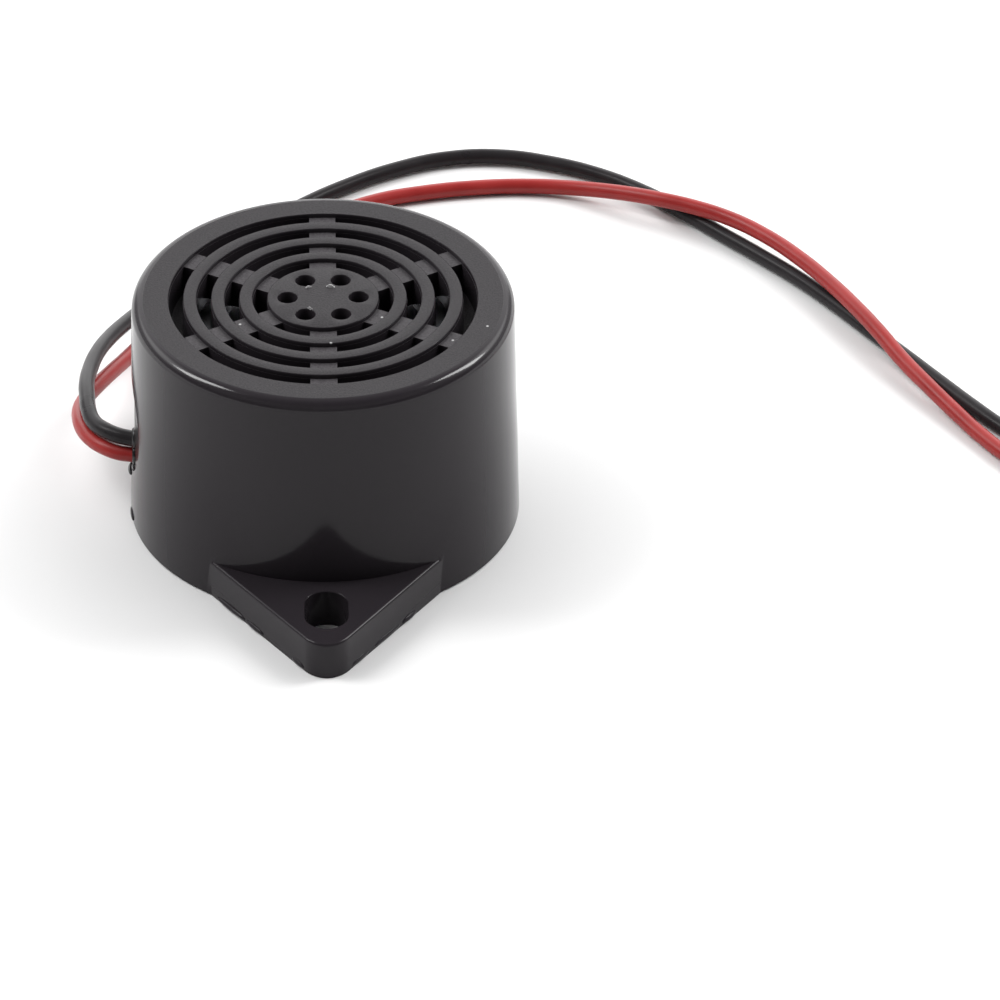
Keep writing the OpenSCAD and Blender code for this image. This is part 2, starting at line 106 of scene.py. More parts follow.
def ramp(tree, source, low, high, start=0, end=1, **settings):
    made = node(tree, "ShaderNodeMapRange", {"From Min": low, "From Max": high,
                                             "To Min": start, "To Max": end}, **settings)
    tree.links.new(source, made.inputs["Value"])
    return made.outputs["Result"]


def mixed(tree, factor, first, second, kind="RGBA"):
    made = node(tree, "ShaderNodeMix", data_type=kind)
    tree.links.new(factor, made.inputs["Factor"])
    for name, value in (("A", first), ("B", second)):
        if isinstance(value, bpy.types.NodeSocket):
            tree.links.new(value, made.inputs[name])
        elif kind == "RGBA":
            made.inputs[name].default_value = (*value, 1)
        else:
            made.inputs[name].default_value = value
    return made.outputs["Result"]


def skin_group():
    group = bpy.data.node_groups.new("moulded_skin", "ShaderNodeTree")
    face = group.interface
    for name in ("Grain per metre", "Smudge per metre"):
        face.new_socket(name, in_out="INPUT", socket_type="NodeSocketFloat")
    for name in ("Grain", "Smudge"):
        face.new_socket(name, in_out="OUTPUT", socket_type="NodeSocketFloat")
    start = group.nodes.new("NodeGroupInput")
    end = group.nodes.new("NodeGroupOutput")
    place = group.nodes.new("ShaderNodeTexCoord")
    for socket, detail, roughness in ((0, 3, 0.6), (1, 4, 0.55)):
        noise = node(group, "ShaderNodeTexNoise", {"Detail": detail, "Roughness": roughness})
        group.links.new(place.outputs["Object"], noise.inputs["Vector"])
        group.links.new(start.outputs[socket], noise.inputs["Scale"])
        group.links.new(noise.outputs["Fac"], end.inputs[socket])
    return group


moulded_skin = skin_group()


def skin_in(tree, grain, smudge):
    return node(tree, "ShaderNodeGroup", {"Grain per metre": grain, "Smudge per metre": smudge},
                node_tree=moulded_skin)


def span(tree, noise, low, high):
    return ramp(tree, noise, NOISE_LOW, NOISE_HIGH, low, high)


def bump(tree, shader, height, strength, distance):
    made = node(tree, "ShaderNodeBump", {"Strength": strength, "Distance": distance})
    tree.links.new(height, made.inputs["Height"])
    tree.links.new(made.outputs["Normal"], shader.inputs["Normal"])


def finish(name, dark, light, gloss, spread, grain, smudge, dent, metallic=0, shine=0.5):
    material, tree, shader = new_material(name)
    skin = skin_in(tree, grain, smudge)
    shader.inputs["Metallic"].default_value = metallic
    shader.inputs["Specular IOR Level"].default_value = shine
    mottle = span(tree, skin.outputs["Smudge"], 0, 1)
    tree.links.new(mixed(tree, mottle, dark, light), shader.inputs["Base Color"])
    tree.links.new(span(tree, skin.outputs["Smudge"], gloss - spread, gloss + spread),
                   shader.inputs["Roughness"])
    bump(tree, shader, skin.outputs["Grain"], GRAIN_STRENGTH, dent)
    return material


red_pvc = finish("red_pvc", (0.27, 0.019, 0.018), (0.33, 0.026, 0.024),
                 gloss=0.34, spread=0.06, grain=2600, smudge=300, dent=0.01 * MM, shine=0.28)
black_pvc = finish("black_pvc", (0.018, 0.016, 0.0175), (0.026, 0.0235, 0.025),
                   gloss=0.3, spread=0.05, grain=2600, smudge=300, dent=0.008 * MM, shine=0.13)
tinned = finish("tinned_copper", (0.50, 0.50, 0.51), (0.66, 0.66, 0.66),
                gloss=0.3, spread=0.08, grain=5000, smudge=800, dent=0.004 * MM, metallic=1)


def new_curve(name, thickness, roundness):
    curve = bpy.data.curves.new(name, "CURVE")
    curve.dimensions = "3D"
    curve.bevel_depth = thickness / 2
    curve.bevel_resolution = roundness
    curve.use_fill_caps = True
    made = bpy.data.objects.new(name, curve)
    bpy.context.collection.objects.link(made)
    return made, curve


def choose(made):
    bpy.ops.object.select_all(action="DESELECT")
    made.select_set(True)
    bpy.context.view_layer.objects.active = made


# Six strands wind round a straight one, in line with the lead's last two points.
def bare_end(name, points, cad_node):
    start = Vector(points[-1]) * MM
    along = (Vector(points[-1]) - Vector(points[-2])).normalized()
    side = along.cross(Vector((0, 0, 1))).normalized()
    over = side.cross(along)
    outer_strands = STRANDS - 1
    made, curve = new_curve(name, STRAND_D, 2)
    for strand in range(STRANDS):
        spline = curve.splines.new("POLY")
        spline.points.add(STRAND_STEPS)
        for step, knot in enumerate(spline.points):
            run = STRIP_LENGTH * step / STRAND_STEPS
            turn = math.tau * (strand / outer_strands + run / STRAND_TURN)
            out = STRAND_D if strand < outer_strands else 0
            at = start + along * run + out * (math.cos(turn) * side + math.sin(turn) * over)
            knot.co = (*at, 1)
    choose(made)
    bpy.ops.object.convert(target="MESH")
    bpy.ops.object.shade_smooth_by_angle(angle=STRAND_SMOOTH)
    made = bpy.context.object
    made.data.materials.append(tinned)
    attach(made, "root")
    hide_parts(cad_node)
    return made


def lead(name, points, material, cad_node):
    made, curve = new_curve(name, LEAD_D, 6)
    curve.resolution_u = 8
    spline = curve.splines.new("BEZIER")
    spline.bezier_points.add(len(points) - 1)
    for at, knot in zip(points, spline.bezier_points):
        knot.co = Vector(at) * MM
        knot.handle_left_type = knot.handle_right_type = "AUTO"
    curve.materials.append(material)
    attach(made, "root")
    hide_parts(cad_node)
    tip = bare_end(name + "_strands", points, cad_node + "_tip")


red_route = [
    (-15.37, -0.4, 5.15), (-16.52, -0.07, 5.15), (-17.6, 0.6, 5.2), (-18.6, 1.8, 5.1),
    (-19.3, 3.4, 4.9), (-19.7, 5.5, 4.6), (-19.7, 7.9, 4.1), (-19.2, 10.3, 3.6),
    (-18.4, 12.7, 3.1), (-17.4, 15.4, 2.5), (-16.3, 18.3, 1.8), (-14.9, 21.6, 1.2),
    (-12.9, 25.2, 0.8), (-10.4, 29.2, 0.7), (-7.4, 33.4, 0.7), (-3.9, 37.6, 0.7),
    (0.2, 41.2, 0.7), (4.6, 43.9, 0.7), (8.8, 45.2, 0.7), (13, 45.9, 0.7),
    (17.2, 46.1, 0.7), (21.4, 45.4, 0.9), (25.2, 43.7, 1.5), (28.6, 41.8, 2),
    (31.6, 40.3, 2.1), (34.6, 38.4, 2.1), (37.6, 35.5, 2.1), (40.2, 32, 2.1),
    (42.3, 28.5, 2.1), (44.1, 25, 2.1), (45.9, 21.3, 1.95), (47.7, 17.6, 1.5),
    (49.6, 14.1, 1.2), (51.5, 10.8, 0.9), (53.5, 7.4, 0.7), (55.7, 4.1, 0.7),
    (58.3, 1.2, 0.7), (61.4, -1.3, 0.7), (64.6, -3.2, 0.7), (69.4, -5.1, 0.7),
]
black_route = [
    (-15.37, -0.2, 6.55), (-16.48, 0.25, 6.55), (-17.5, 1, 6.55), (-18.4, 2.3, 6.4),
    (-18.9, 4.1, 6.3), (-19.1, 6.4, 6.1), (-19.2, 9, 5.7), (-19, 12, 5.1),
    (-18.5, 15.4, 4.4), (-17.6, 19, 3.5), (-16.3, 22.6, 2.6), (-14.6, 26.4, 1.7),
    (-12.4, 30.4, 1), (-9.7, 34.4, 0.7), (-6.4, 38.6, 0.7), (-2.4, 42.7, 0.7),
    (2, 46.3, 0.7), (6.6, 49.1, 0.7), (11, 50.7, 0.7), (15.4, 50.9, 0.7),
    (19.6, 49.8, 0.7), (23.6, 47.9, 0.7), (27.4, 45.1, 0.7), (30.8, 41.7, 0.7),
    (34, 38.1, 0.7), (37.2, 34.5, 0.7), (40.2, 30.9, 0.7), (42.9, 27.1, 0.7),
    (45.5, 23.1, 0.7), (48.1, 19.2, 0.7), (50.6, 15.4, 0.7), (53, 11.8, 0.7),
    (55.5, 8.3, 0.7), (58.1, 5.2, 0.7), (61.1, 2.5, 0.7), (64.2, 0.6, 0.7),
    (67.1, -0.6, 0.7),
]
lead("red_flying_lead", red_route, red_pvc, "red_lead")
lead("black_flying_lead", black_route, black_pvc, "black_lead")


# Housing: one moulding of black ABS with drum, ears and grille, closed below by the compound.
# The wall comes polished out of the tool, the grille face has a fine spark-eroded grain,
# and the edges of the rim, the slots, the holes and the ears are slightly rounded.
ROUND = 192
CORE_R = 2
CUT_PAST = 0.3
BODY_H = 19.7
GRILLE_Z = 17.05
BASE_R = 15.581
FOOT_EDGE = 0.12
WALL_DRAFT = 1.4
WALL_LEAN = 0.0244
KNEE_UP = 0.8
KNEE_IN = 0.02
RIM_R = 0.95
RIM_X = 14.174
RIM_Z = 18.75
HUB_R = 4.4
HUB_HOLES = 6
HUB_HOLE_R = 0.775
HUB_HOLE_PCR = 2.8
HUB_LIP = 0.06
SLOT_W = 1.16
SLOT_PITCH = 2.21
SLOT_COUNT = 4
SLOT_DRAFT = math.radians(2)
SLOT_LIP = 0.08
WINDOW_TOP = 19.5
WINDOW_IN = 0.012
SPOKE_W = 2.1
SPOKE_Z = 19.35
SPOKE_BARS = 3
BAR_LENGTH = 30
BAR_HEIGHT = 8
BAR_Z = 18
EAR_T = 3.2
EAR_HALF = math.radians(35.5)
EAR_END = 23.781
EAR_TIP_R = 2.15
EAR_EDGE = 0.24
FIX_MID = 19.231
FIX_W = 3.4
FIX_RUN = 1.5
FIX_LIP = 0.1
BOARD_R = 14.2
BOARD_Z = 3.9
DISC_R = 13.65
DISC_Z = 15.95
CHAMBER_R = 10.53
EXIT_X = -15
EXIT_Z = 8.7
EXIT_R = 4.5
EXIT_DEPTH = 6
LIP_STEPS = 2
RIM_STEPS = 10
LIP_OUT = 0.29
LIP_UP = 0.71
PIN_PAST = 0.2
WELD = 0.002
SHELL_SMOOTH = math.radians(48)


def edit(made, mode):
    choose(made)
    bpy.ops.object.mode_set(mode="EDIT")
    bpy.ops.mesh.select_mode(type=mode)


def leave_edit():
    bpy.ops.mesh.select_all(action="SELECT")
    bpy.ops.mesh.normals_make_consistent(inside=False)
    bpy.ops.object.mode_set(mode="OBJECT")


# The moulding is built in millimetres and brought to scale at the end.
# Turned shapes start as a disc, whose edge is drawn out ring by ring along the profile.
def turned(name, profile):
    (r, z), rest = profile[0], profile[1:]
    bpy.ops.object.select_all(action="DESELECT")
    bpy.ops.mesh.primitive_circle_add(vertices=ROUND, radius=r, fill_type="NGON")
    made = bpy.context.object
    made.name = name
    edit(made, "EDGE")
    bpy.ops.mesh.select_all(action="SELECT")
    bpy.ops.transform.translate(value=(0, 0, z))
    for next_r, next_z in rest:
        bpy.ops.mesh.extrude_edges_move(TRANSFORM_OT_translate={"value": (0, 0, next_z - z)})
        grow = next_r / r
        bpy.ops.transform.resize(value=(grow, grow, 1), center_override=(0, 0, 0))
        r, z = next_r, next_z
    bpy.ops.mesh.edge_face_add()
    leave_edit()
    return made


def cut_away(made, cutter, operation="DIFFERENCE"):
    step = made.modifiers.new("cut", "BOOLEAN")
    step.operation = operation
    step.solver = "EXACT"
    step.object = cutter
    choose(made)
    bpy.ops.object.modifier_apply(modifier=step.name)
    bpy.data.objects.remove(cutter)


def joined(first, *others):
    choose(first)
    for other in others:
        other.select_set(True)
    bpy.ops.object.join()
    return bpy.context.object


def corner(x, z, r, start, end, steps):
    turns = [math.radians(start + (end - start) * k / steps) for k in range(steps + 1)]
    return [(x + r * math.cos(turn), z + r * math.sin(turn)) for turn in turns]


# The drum, with the shallow ring grooves that run right round over the spokes.
slots = [(HUB_R + k * SLOT_PITCH, HUB_R + k * SLOT_PITCH + SLOT_W) for k in range(SLOT_COUNT)]
outline = [(CORE_R, BODY_H)]
for inner, outer in slots:
    outline += corner(inner - SLOT_LIP, BODY_H - SLOT_LIP, SLOT_LIP, 90, 0, LIP_STEPS)
    outline += [(inner, SPOKE_Z), (outer, SPOKE_Z)]
    outline += corner(outer + SLOT_LIP, BODY_H - SLOT_LIP, SLOT_LIP, 180, 90, LIP_STEPS)
outline += corner(RIM_X, RIM_Z, RIM_R, 90, WALL_DRAFT, RIM_STEPS)
outline += [(BASE_R - KNEE_IN - EAR_T * WALL_LEAN, EAR_T + KNEE_UP),
            (BASE_R, FOOT_EDGE), (BASE_R - FOOT_EDGE, 0)]
shell = turned("housing_shell", outline)

# An ear is a triangle with its point rounded off, drawn up to its thickness.
apex = EAR_END - EAR_TIP_R + EAR_TIP_R / math.sin(EAR_HALF)
ear_root = BASE_R / 2
ear_half = (apex - ear_root) * math.tan(EAR_HALF)
for side in (-1, 1):
    bpy.ops.object.select_all(action="DESELECT")
    bpy.ops.mesh.primitive_circle_add(vertices=3, radius=1, fill_type="NGON")
    ear = bpy.context.object
    corners = [(0, side * apex), (-side * ear_half, side * ear_root),
               (side * ear_half, side * ear_root)]
    for vertex, (x, y) in zip(ear.data.vertices, corners):
        vertex.co = (x, y, 0)
    edit(ear, "VERT")
    bpy.ops.mesh.select_all(action="DESELECT")
    bpy.ops.object.mode_set(mode="OBJECT")
    ear.data.vertices[0].select = True
    bpy.ops.object.mode_set(mode="EDIT")
    bpy.ops.mesh.bevel(offset=EAR_TIP_R / math.tan(EAR_HALF), segments=20, affect="VERTICES")
    bpy.ops.mesh.select_mode(type="FACE")
    bpy.ops.mesh.select_all(action="SELECT")
    bpy.ops.mesh.extrude_region_move(TRANSFORM_OT_translate={"value": (0, 0, EAR_T)})
    bpy.ops.mesh.select_mode(type="EDGE")
    bpy.ops.mesh.region_to_loop()
    bpy.ops.mesh.bevel(offset=EAR_EDGE, segments=4, affect="EDGES")
    leave_edit()
    cut_away(shell, ear, "UNION")

# The inside is bored in three steps for the board, the disc and the sound chamber.
inside = turned("inside", [(CORE_R, -CUT_PAST), (BOARD_R, -CUT_PAST), (BOARD_R, BOARD_Z),
                           (DISC_R, BOARD_Z), (DISC_R, DISC_Z), (CHAMBER_R, DISC_Z),
                           (CHAMBER_R, GRILLE_Z), (CORE_R, GRILLE_Z)])
cut_away(shell, inside)

# The slots go deep between the spokes, and the outermost of them stays blind.
# Their cutters are turned by half a facet, so that no facet edge meets one of the drum's.
for inner, outer in slots:
    blind = outer == slots[-1][1]
    low = GRILLE_Z if blind else GRILLE_Z - CUT_PAST
    lean = (BODY_H - low) * math.tan(SLOT_DRAFT)
    window = turned("window", [(inner + WINDOW_IN, WINDOW_TOP), (outer - WINDOW_IN, WINDOW_TOP),
                               (outer - lean, low), (inner + lean, low)])
    edit(window, "FACE")
    bpy.ops.mesh.select_all(action="DESELECT")
    bpy.ops.object.mode_set(mode="OBJECT")
    for face in window.data.polygons:
        face.select = len(face.vertices) > 4
    bpy.ops.object.mode_set(mode="EDIT")
    bpy.ops.mesh.delete(type="ONLY_FACE")
    bpy.ops.mesh.select_mode(type="EDGE")
    bpy.ops.mesh.select_all(action="DESELECT")
    bpy.ops.mesh.select_non_manifold()
    bpy.ops.mesh.bridge_edge_loops()
    bpy.ops.mesh.select_all(action="SELECT")
    bpy.ops.transform.rotate(value=math.pi / ROUND, orient_axis="Z", center_override=(0, 0, 0))
    leave_edit()
    for spoke in range(SPOKE_BARS):
        turn = math.radians(90 + 180 / SPOKE_BARS * spoke)
        bpy.ops.object.select_all(action="DESELECT")
        bpy.ops.mesh.primitive_cube_add(size=1)
        bar = bpy.context.object
        bar.scale = (BAR_LENGTH, SPOKE_W, BAR_HEIGHT)
        bar.location = (0, 0, BAR_Z)
        bar.rotation_euler = (0, 0, turn)
        bpy.ops.object.transform_apply()
        cut_away(window, bar)
    cut_away(shell, window)


# Round holes are cut with a pin whose upper end flares into the rounded lip.
def pin(x, y, low, top, r, lip):
    bpy.ops.object.select_all(action="DESELECT")
    bpy.ops.mesh.primitive_circle_add(vertices=48, radius=r, fill_type="NGON")
    made = bpy.context.object
    edit(made, "FACE")
    bpy.ops.mesh.select_all(action="SELECT")
    bpy.ops.transform.translate(value=(0, 0, low))
    reach = r
    for wide, up in ((r, top - lip - low), (r + LIP_OUT * lip, LIP_UP * lip),
                     (r + lip, LIP_OUT * lip), (r + lip, PIN_PAST)):
        bpy.ops.mesh.extrude_region_move(TRANSFORM_OT_translate={"value": (0, 0, up)})
        grow = wide / reach
        bpy.ops.transform.resize(value=(grow, grow, 1), center_override=(0, 0, 0))
        reach = wide
    bpy.ops.mesh.select_all(action="SELECT")
    bpy.ops.transform.translate(value=(x, y, 0))
    leave_edit()
    return made


hub_turns = [math.radians(360 / HUB_HOLES * k) for k in range(HUB_HOLES)]
pins = [pin(HUB_HOLE_PCR * math.cos(turn), HUB_HOLE_PCR * math.sin(turn),
            GRILLE_Z - CUT_PAST, BODY_H, HUB_HOLE_R, HUB_LIP) for turn in hub_turns]
cut_away(shell, joined(*pins))

# A fixing slot is such a pin drawn out along the ear.
for side in (-1, 1):
    slot_pin = pin(0, 0, -CUT_PAST, EAR_T, FIX_W / 2, FIX_LIP)
    for vertex in slot_pin.data.vertices:
        shift = FIX_RUN / 2 if vertex.co.y > 0 else -FIX_RUN / 2
        vertex.co.y += side * FIX_MID + shift
    cut_away(shell, slot_pin)

# The leads leave through a plain round hole in the wall.
bpy.ops.object.select_all(action="DESELECT")
bpy.ops.mesh.primitive_cylinder_add(vertices=96, radius=EXIT_R, depth=EXIT_DEPTH,
                                    location=(EXIT_X, 0, EXIT_Z),
                                    rotation=(0, math.radians(90), 0))
exit_pin = bpy.context.object
bpy.ops.object.transform_apply()
cut_away(shell, exit_pin)
edit(shell, "VERT")
bpy.ops.mesh.select_all(action="SELECT")
bpy.ops.mesh.remove_doubles(threshold=WELD)
bpy.ops.transform.resize(value=(MM, MM, MM), center_override=(0, 0, 0))
leave_edit()
bpy.ops.object.shade_smooth_by_angle(angle=SHELL_SMOOTH)
flats = shell.modifiers.new("flats", "WEIGHTED_NORMAL")
flats.keep_sharp = True
bpy.ops.object.modifier_apply(modifier=flats.name)

# Polished plastic, with the grain only where a face looks up and lies within the rim.
GLOSS_TONE = (0.022, 0.0188, 0.022)
FACE_TONES = ((0.022, 0.0202, 0.022), (0.044, 0.0408, 0.044))
# Painted light: the spokes and groove floors below the rib tops get a lighter tone, as painted
# fill that cancels the shade of their recess.
SPOKE_PAINTED_FILL_TONES = ((0.036, 0.033, 0.036), (0.07, 0.065, 0.07))
DUST_TONE = (0.42, 0.42, 0.42)
FACE_UP = (0.9, 0.96)
FACE_Z = (16.9 * MM, 17 * MM)
FACE_R = (RIM_X * MM, (RIM_X + 0.12) * MM)
SPOKE_TOP_Z = (19.4 * MM, 19.5 * MM)
FILLET_Z = (18.9 * MM, 19.3 * MM)
CROWN_Z = (19.57 * MM, 19.63 * MM)
SPECK_R = (0.06 * MM, 0.13 * MM)
WALL_ROUGHNESS = (0.11, 0.16)
FACE_ROUGHNESS = 0.6
FACE_GRAIN = 0.7
FACE_DENT = 0.05 * MM
WALL_SHINE = 0.19
RIM_SHINE = 0.45
FACE_SHINE = 0.17


def maths(tree, operation, *sources):
    made = node(tree, "ShaderNodeMath", operation=operation)
    for socket, source in enumerate(sources):
        tree.links.new(source, made.inputs[socket])
    return made.outputs["Value"]


housing_plastic, tree, shader = new_material("housing_plastic")
skin = skin_in(tree, grain=7000, smudge=120)
place = tree.nodes.new("ShaderNodeTexCoord")
at = tree.nodes.new("ShaderNodeSeparateXYZ")
tree.links.new(place.outputs["Object"], at.inputs["Vector"])
height = at.outputs["Z"]
facing = tree.nodes.new("ShaderNodeSeparateXYZ")
tree.links.new(place.outputs["Normal"], facing.inputs["Vector"])
level = node(tree, "ShaderNodeVectorMath", {1: (1, 1, 0)}, operation="MULTIPLY")
tree.links.new(place.outputs["Object"], level.inputs[0])
radius = node(tree, "ShaderNodeVectorMath", operation="LENGTH")
tree.links.new(level.outputs["Vector"], radius.inputs[0])
upward = ramp(tree, facing.outputs["Z"], *FACE_UP)
raised = ramp(tree, height, *FACE_Z)
within = ramp(tree, radius.outputs["Value"], *FACE_R, 1, 0)
matte = maths(tree, "MULTIPLY", maths(tree, "MULTIPLY", upward, raised), within)
grain = span(tree, skin.outputs["Grain"], 0, 1)
# Below the rib tops the grained face is painted about 1.6 times lighter: painted light standing in
# for the light the recess loses.
painted_fill_mask = ramp(tree, height, *SPOKE_TOP_Z, 1, 0)
face_and_painted_fill_tone = mixed(tree, painted_fill_mask, mixed(tree, grain, *FACE_TONES), mixed(tree, grain, *SPOKE_PAINTED_FILL_TONES))
clean_tone = mixed(tree, matte, GLOSS_TONE, face_and_painted_fill_tone)

# A few specks of pale dust have settled on the grille.
speck_places = [(-6.53, -3.22, SPOKE_Z), (10.11, -5.8, SPOKE_Z), (12.85, -4.37, BODY_H),
                (4.61, -2.43, SPOKE_Z), (0.58, -6.5, BODY_H)]
distances = []
for speck in speck_places:
    away = node(tree, "ShaderNodeVectorMath", {1: Vector(speck) * MM}, operation="DISTANCE")
    tree.links.new(place.outputs["Object"], away.inputs[0])
    distances.append(away.outputs["Value"])
nearest = distances[0]
for distance in distances[1:]:
    nearest = maths(tree, "MINIMUM", nearest, distance)
dust = ramp(tree, nearest, *SPECK_R, 1, 0)
tree.links.new(mixed(tree, dust, clean_tone, DUST_TONE), shader.inputs["Base Color"])

# The wall is a little less shiny than the rim's fillet, and the grained face is dull.
wall_roughness = span(tree, skin.outputs["Smudge"], *WALL_ROUGHNESS)
tree.links.new(mixed(tree, matte, wall_roughness, FACE_ROUGHNESS, "FLOAT"),
               shader.inputs["Roughness"])
fillet_shine = ramp(tree, height, *FILLET_Z, WALL_SHINE, RIM_SHINE)
crown = ramp(tree, height, *CROWN_Z)
dull = maths(tree, "MAXIMUM", matte, crown)
tree.links.new(mixed(tree, dull, fillet_shine, FACE_SHINE, "FLOAT"),
               shader.inputs["Specular IOR Level"])
bump(tree, shader, maths(tree, "MULTIPLY", skin.outputs["Grain"], matte), FACE_GRAIN, FACE_DENT)
shell.data.materials.clear()
shell.data.materials.append(housing_plastic)
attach(shell, "root")
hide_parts("housing")


# Hub flash: pale torn slivers of the moulding's own plastic beside three of the hub holes.
# The tool squeezed them out, and they are still rooted in the face.
SLIVER_FOOT = 0.1 * MM
SLIVER_TOP = 0.03 * MM
SLIVER_H = 0.14 * MM
SLIVER_STRETCH = 2.6
SLIVER_UP = 0.04
slivers = []
for x, y, turn, size in ((0.6, 1.5, 190, 2), (-1.15, 1.45, 160, 1.3), (-1.05, -1.6, 30, 1.3)):
    bpy.ops.object.select_all(action="DESELECT")
    bpy.ops.mesh.primitive_cone_add(vertices=7, radius1=SLIVER_FOOT, radius2=SLIVER_TOP,
                                    depth=SLIVER_H)
    sliver = bpy.context.object
    edit(sliver, "VERT")
    bpy.ops.mesh.select_all(action="SELECT")
    bpy.ops.transform.resize(value=(SLIVER_STRETCH * size, size, size), center_override=(0, 0, 0))
    bpy.ops.transform.rotate(value=math.radians(turn), orient_axis="Z", center_override=(0, 0, 0))
    bpy.ops.transform.translate(value=(x * MM, y * MM, (BODY_H + SLIVER_UP) * MM))
    leave_edit()
    slivers.append(sliver)
flash = joined(*slivers)
flash.name = "hub_flash"
flash.data.materials.append(finish("torn_plastic", (0.2, 0.195, 0.2), (0.45, 0.445, 0.45),
                                   gloss=0.3, spread=0.1, grain=5000, smudge=2500, dent=0.02 * MM))
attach(flash, "root")


# Foot flash: low ragged beads of the same plastic along the foot, where the tool closes.
# Most of them run along the front ear, and a small one sits on the left of the drum.
BEAD_H = 0.25
BEAD_UP = 0.01
# x, y, turn, half width, length and half height of each; the first is the drum's.
beads = [(-15.48, -1.75, 0.11, 0.13, 1.8, 0.3)]
for side, along, length, wide in ((-1, 12.9, 3.8, 0.2), (-1, 9.7, 2.4, 0.17), (-1, 3.9, 1.6, 0.13),
                                  (1, 11.2, 1.9, 0.17), (1, 8.2, 3.4, 0.1), (1, 4.5, 2.2, 0.1)):
    beads.append((side * along * math.sin(EAR_HALF), along * math.cos(EAR_HALF) - apex,
                  -side * EAR_HALF, wide, length, BEAD_H))
lumps = []
for x, y, turn, wide, length, tall in beads:
    bpy.ops.object.select_all(action="DESELECT")
    bpy.ops.mesh.primitive_uv_sphere_add(segments=20, ring_count=10, radius=MM,
                                         location=(x * MM, y * MM, (tall + BEAD_UP) * MM),
                                         rotation=(0, 0, turn), scale=(wide, length / 2, tall))
    lumps.append(bpy.context.object)
    bpy.ops.object.transform_apply()
foot_flash = joined(*lumps)
foot_flash.name = "foot_flash"
bpy.ops.object.shade_smooth()
foot_flash.data.materials.append(housing_plastic)
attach(foot_flash, "root")


# Compound: black epoxy, poured into the base over the board and pressed into the lead hole.
# It holds the leads and closes the housing, and it has set with a slightly uneven skin.
compound = finish("black_epoxy", (0.006, 0.0055, 0.006), (0.012, 0.011, 0.012),
                  gloss=0.3, spread=0.12, grain=900, smudge=250, dent=0.12 * MM)


def dress(material, *names):
    for name in names:
        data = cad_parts[name].data
        data.materials.clear()
        data.materials.append(material)


dress(compound, "potting", "lead_seal")


# Seal drop: a drop of the compound that ran out under the leads and set on the wall.
# It is wider below than above and clings to the edge of the lead hole.
DROP_PLACE = (-15.5 * MM, -0.4 * MM, 3.8 * MM)
DROP_SIZE = (0.22 * MM, 0.4 * MM, 0.55 * MM)
DROP_SAG = 0.4
DROP_WAVE = 0.12
DROP_RIPPLES = 5
bpy.ops.object.select_all(action="DESELECT")
bpy.ops.mesh.primitive_uv_sphere_add(segments=24, ring_count=16, radius=1)
drop = bpy.context.object
drop.name = "seal_drop"
for vertex in drop.data.vertices:
    sag = 1 - DROP_SAG * vertex.co.z + DROP_WAVE * math.sin(DROP_RIPPLES * vertex.co.y)
    vertex.co.x *= sag
    vertex.co.y *= sag
edit(drop, "VERT")
bpy.ops.mesh.select_all(action="SELECT")
bpy.ops.transform.resize(value=DROP_SIZE, center_override=(0, 0, 0))
bpy.ops.transform.translate(value=DROP_PLACE)
leave_edit()
bpy.ops.object.shade_smooth()
drop.data.materials.append(compound)
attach(drop, "root")


# Seal collars: rings of the compound that crept up round each lead before it set.
# They sit where the leads come out of the seal's face.
COLLAR_X = -15.13 * MM
COLLAR_R = 0.66 * MM
COLLAR_THICK = 0.24 * MM
collars = []
for route in (red_route, black_route):
    _, y, z = route[0]
    bpy.ops.object.select_all(action="DESELECT")
    bpy.ops.mesh.primitive_torus_add(major_segments=40, minor_segments=14,
                                     major_radius=COLLAR_R, minor_radius=COLLAR_THICK)
    collar = bpy.context.object
    edit(collar, "VERT")
    bpy.ops.mesh.select_all(action="SELECT")
    bpy.ops.transform.rotate(value=math.radians(90), orient_axis="Y", center_override=(0, 0, 0))
    bpy.ops.transform.translate(value=(COLLAR_X, y * MM, z * MM))
    leave_edit()
    collars.append(collar)
crept = joined(*collars)
crept.name = "seal_collars"
bpy.ops.object.shade_smooth()
crept.data.materials.append(compound)
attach(crept, "root")


# Inside: the sounder disc of nickelled metal and silvered ceramic, in its silicone bead,
# and a phenolic circuit board with its soldered components and fine wires.
# A repairer finds them under the compound; here they are the CAD's shapes with finishes.
dress(finish("nickel_plate", (0.86, 0.86, 0.9), (0.92, 0.92, 0.96),
             gloss=0.55, spread=0.05, grain=1500, smudge=200, dent=0.001 * MM, metallic=1),
      "sounder_plate")
dress(finish("silvered_ceramic", (0.60, 0.57, 0.50), (0.72, 0.69, 0.62),
             gloss=0.5, spread=0.08, grain=5000, smudge=200, dent=0.006 * MM), "sounder_ceramic")
dress(finish("silicone", (0.58, 0.58, 0.56), (0.70, 0.70, 0.68),
             gloss=0.4, spread=0.1, grain=1200, smudge=300, dent=0.05 * MM), "disc_bond")
dress(finish("phenolic_board", (0.20, 0.11, 0.04), (0.30, 0.17, 0.07),
             gloss=0.5, spread=0.1, grain=3000, smudge=220, dent=0.01 * MM), "circuit_board")
dress(finish("solder", (0.46, 0.47, 0.48), (0.62, 0.62, 0.63),
             gloss=0.28, spread=0.1, grain=3000, smudge=700, dent=0.02 * MM, metallic=1),
      "solder_joints", "disc_solder")
dress(finish("ferrite", (0.03, 0.03, 0.032), (0.055, 0.055, 0.057),
             gloss=0.6, spread=0.1, grain=5000, smudge=400, dent=0.02 * MM), "choke_core")
dress(finish("enamelled_copper", (0.36, 0.10, 0.035), (0.52, 0.17, 0.06),
             gloss=0.32, spread=0.08, grain=4000, smudge=400, dent=0.02 * MM, metallic=1),
      "choke_winding")
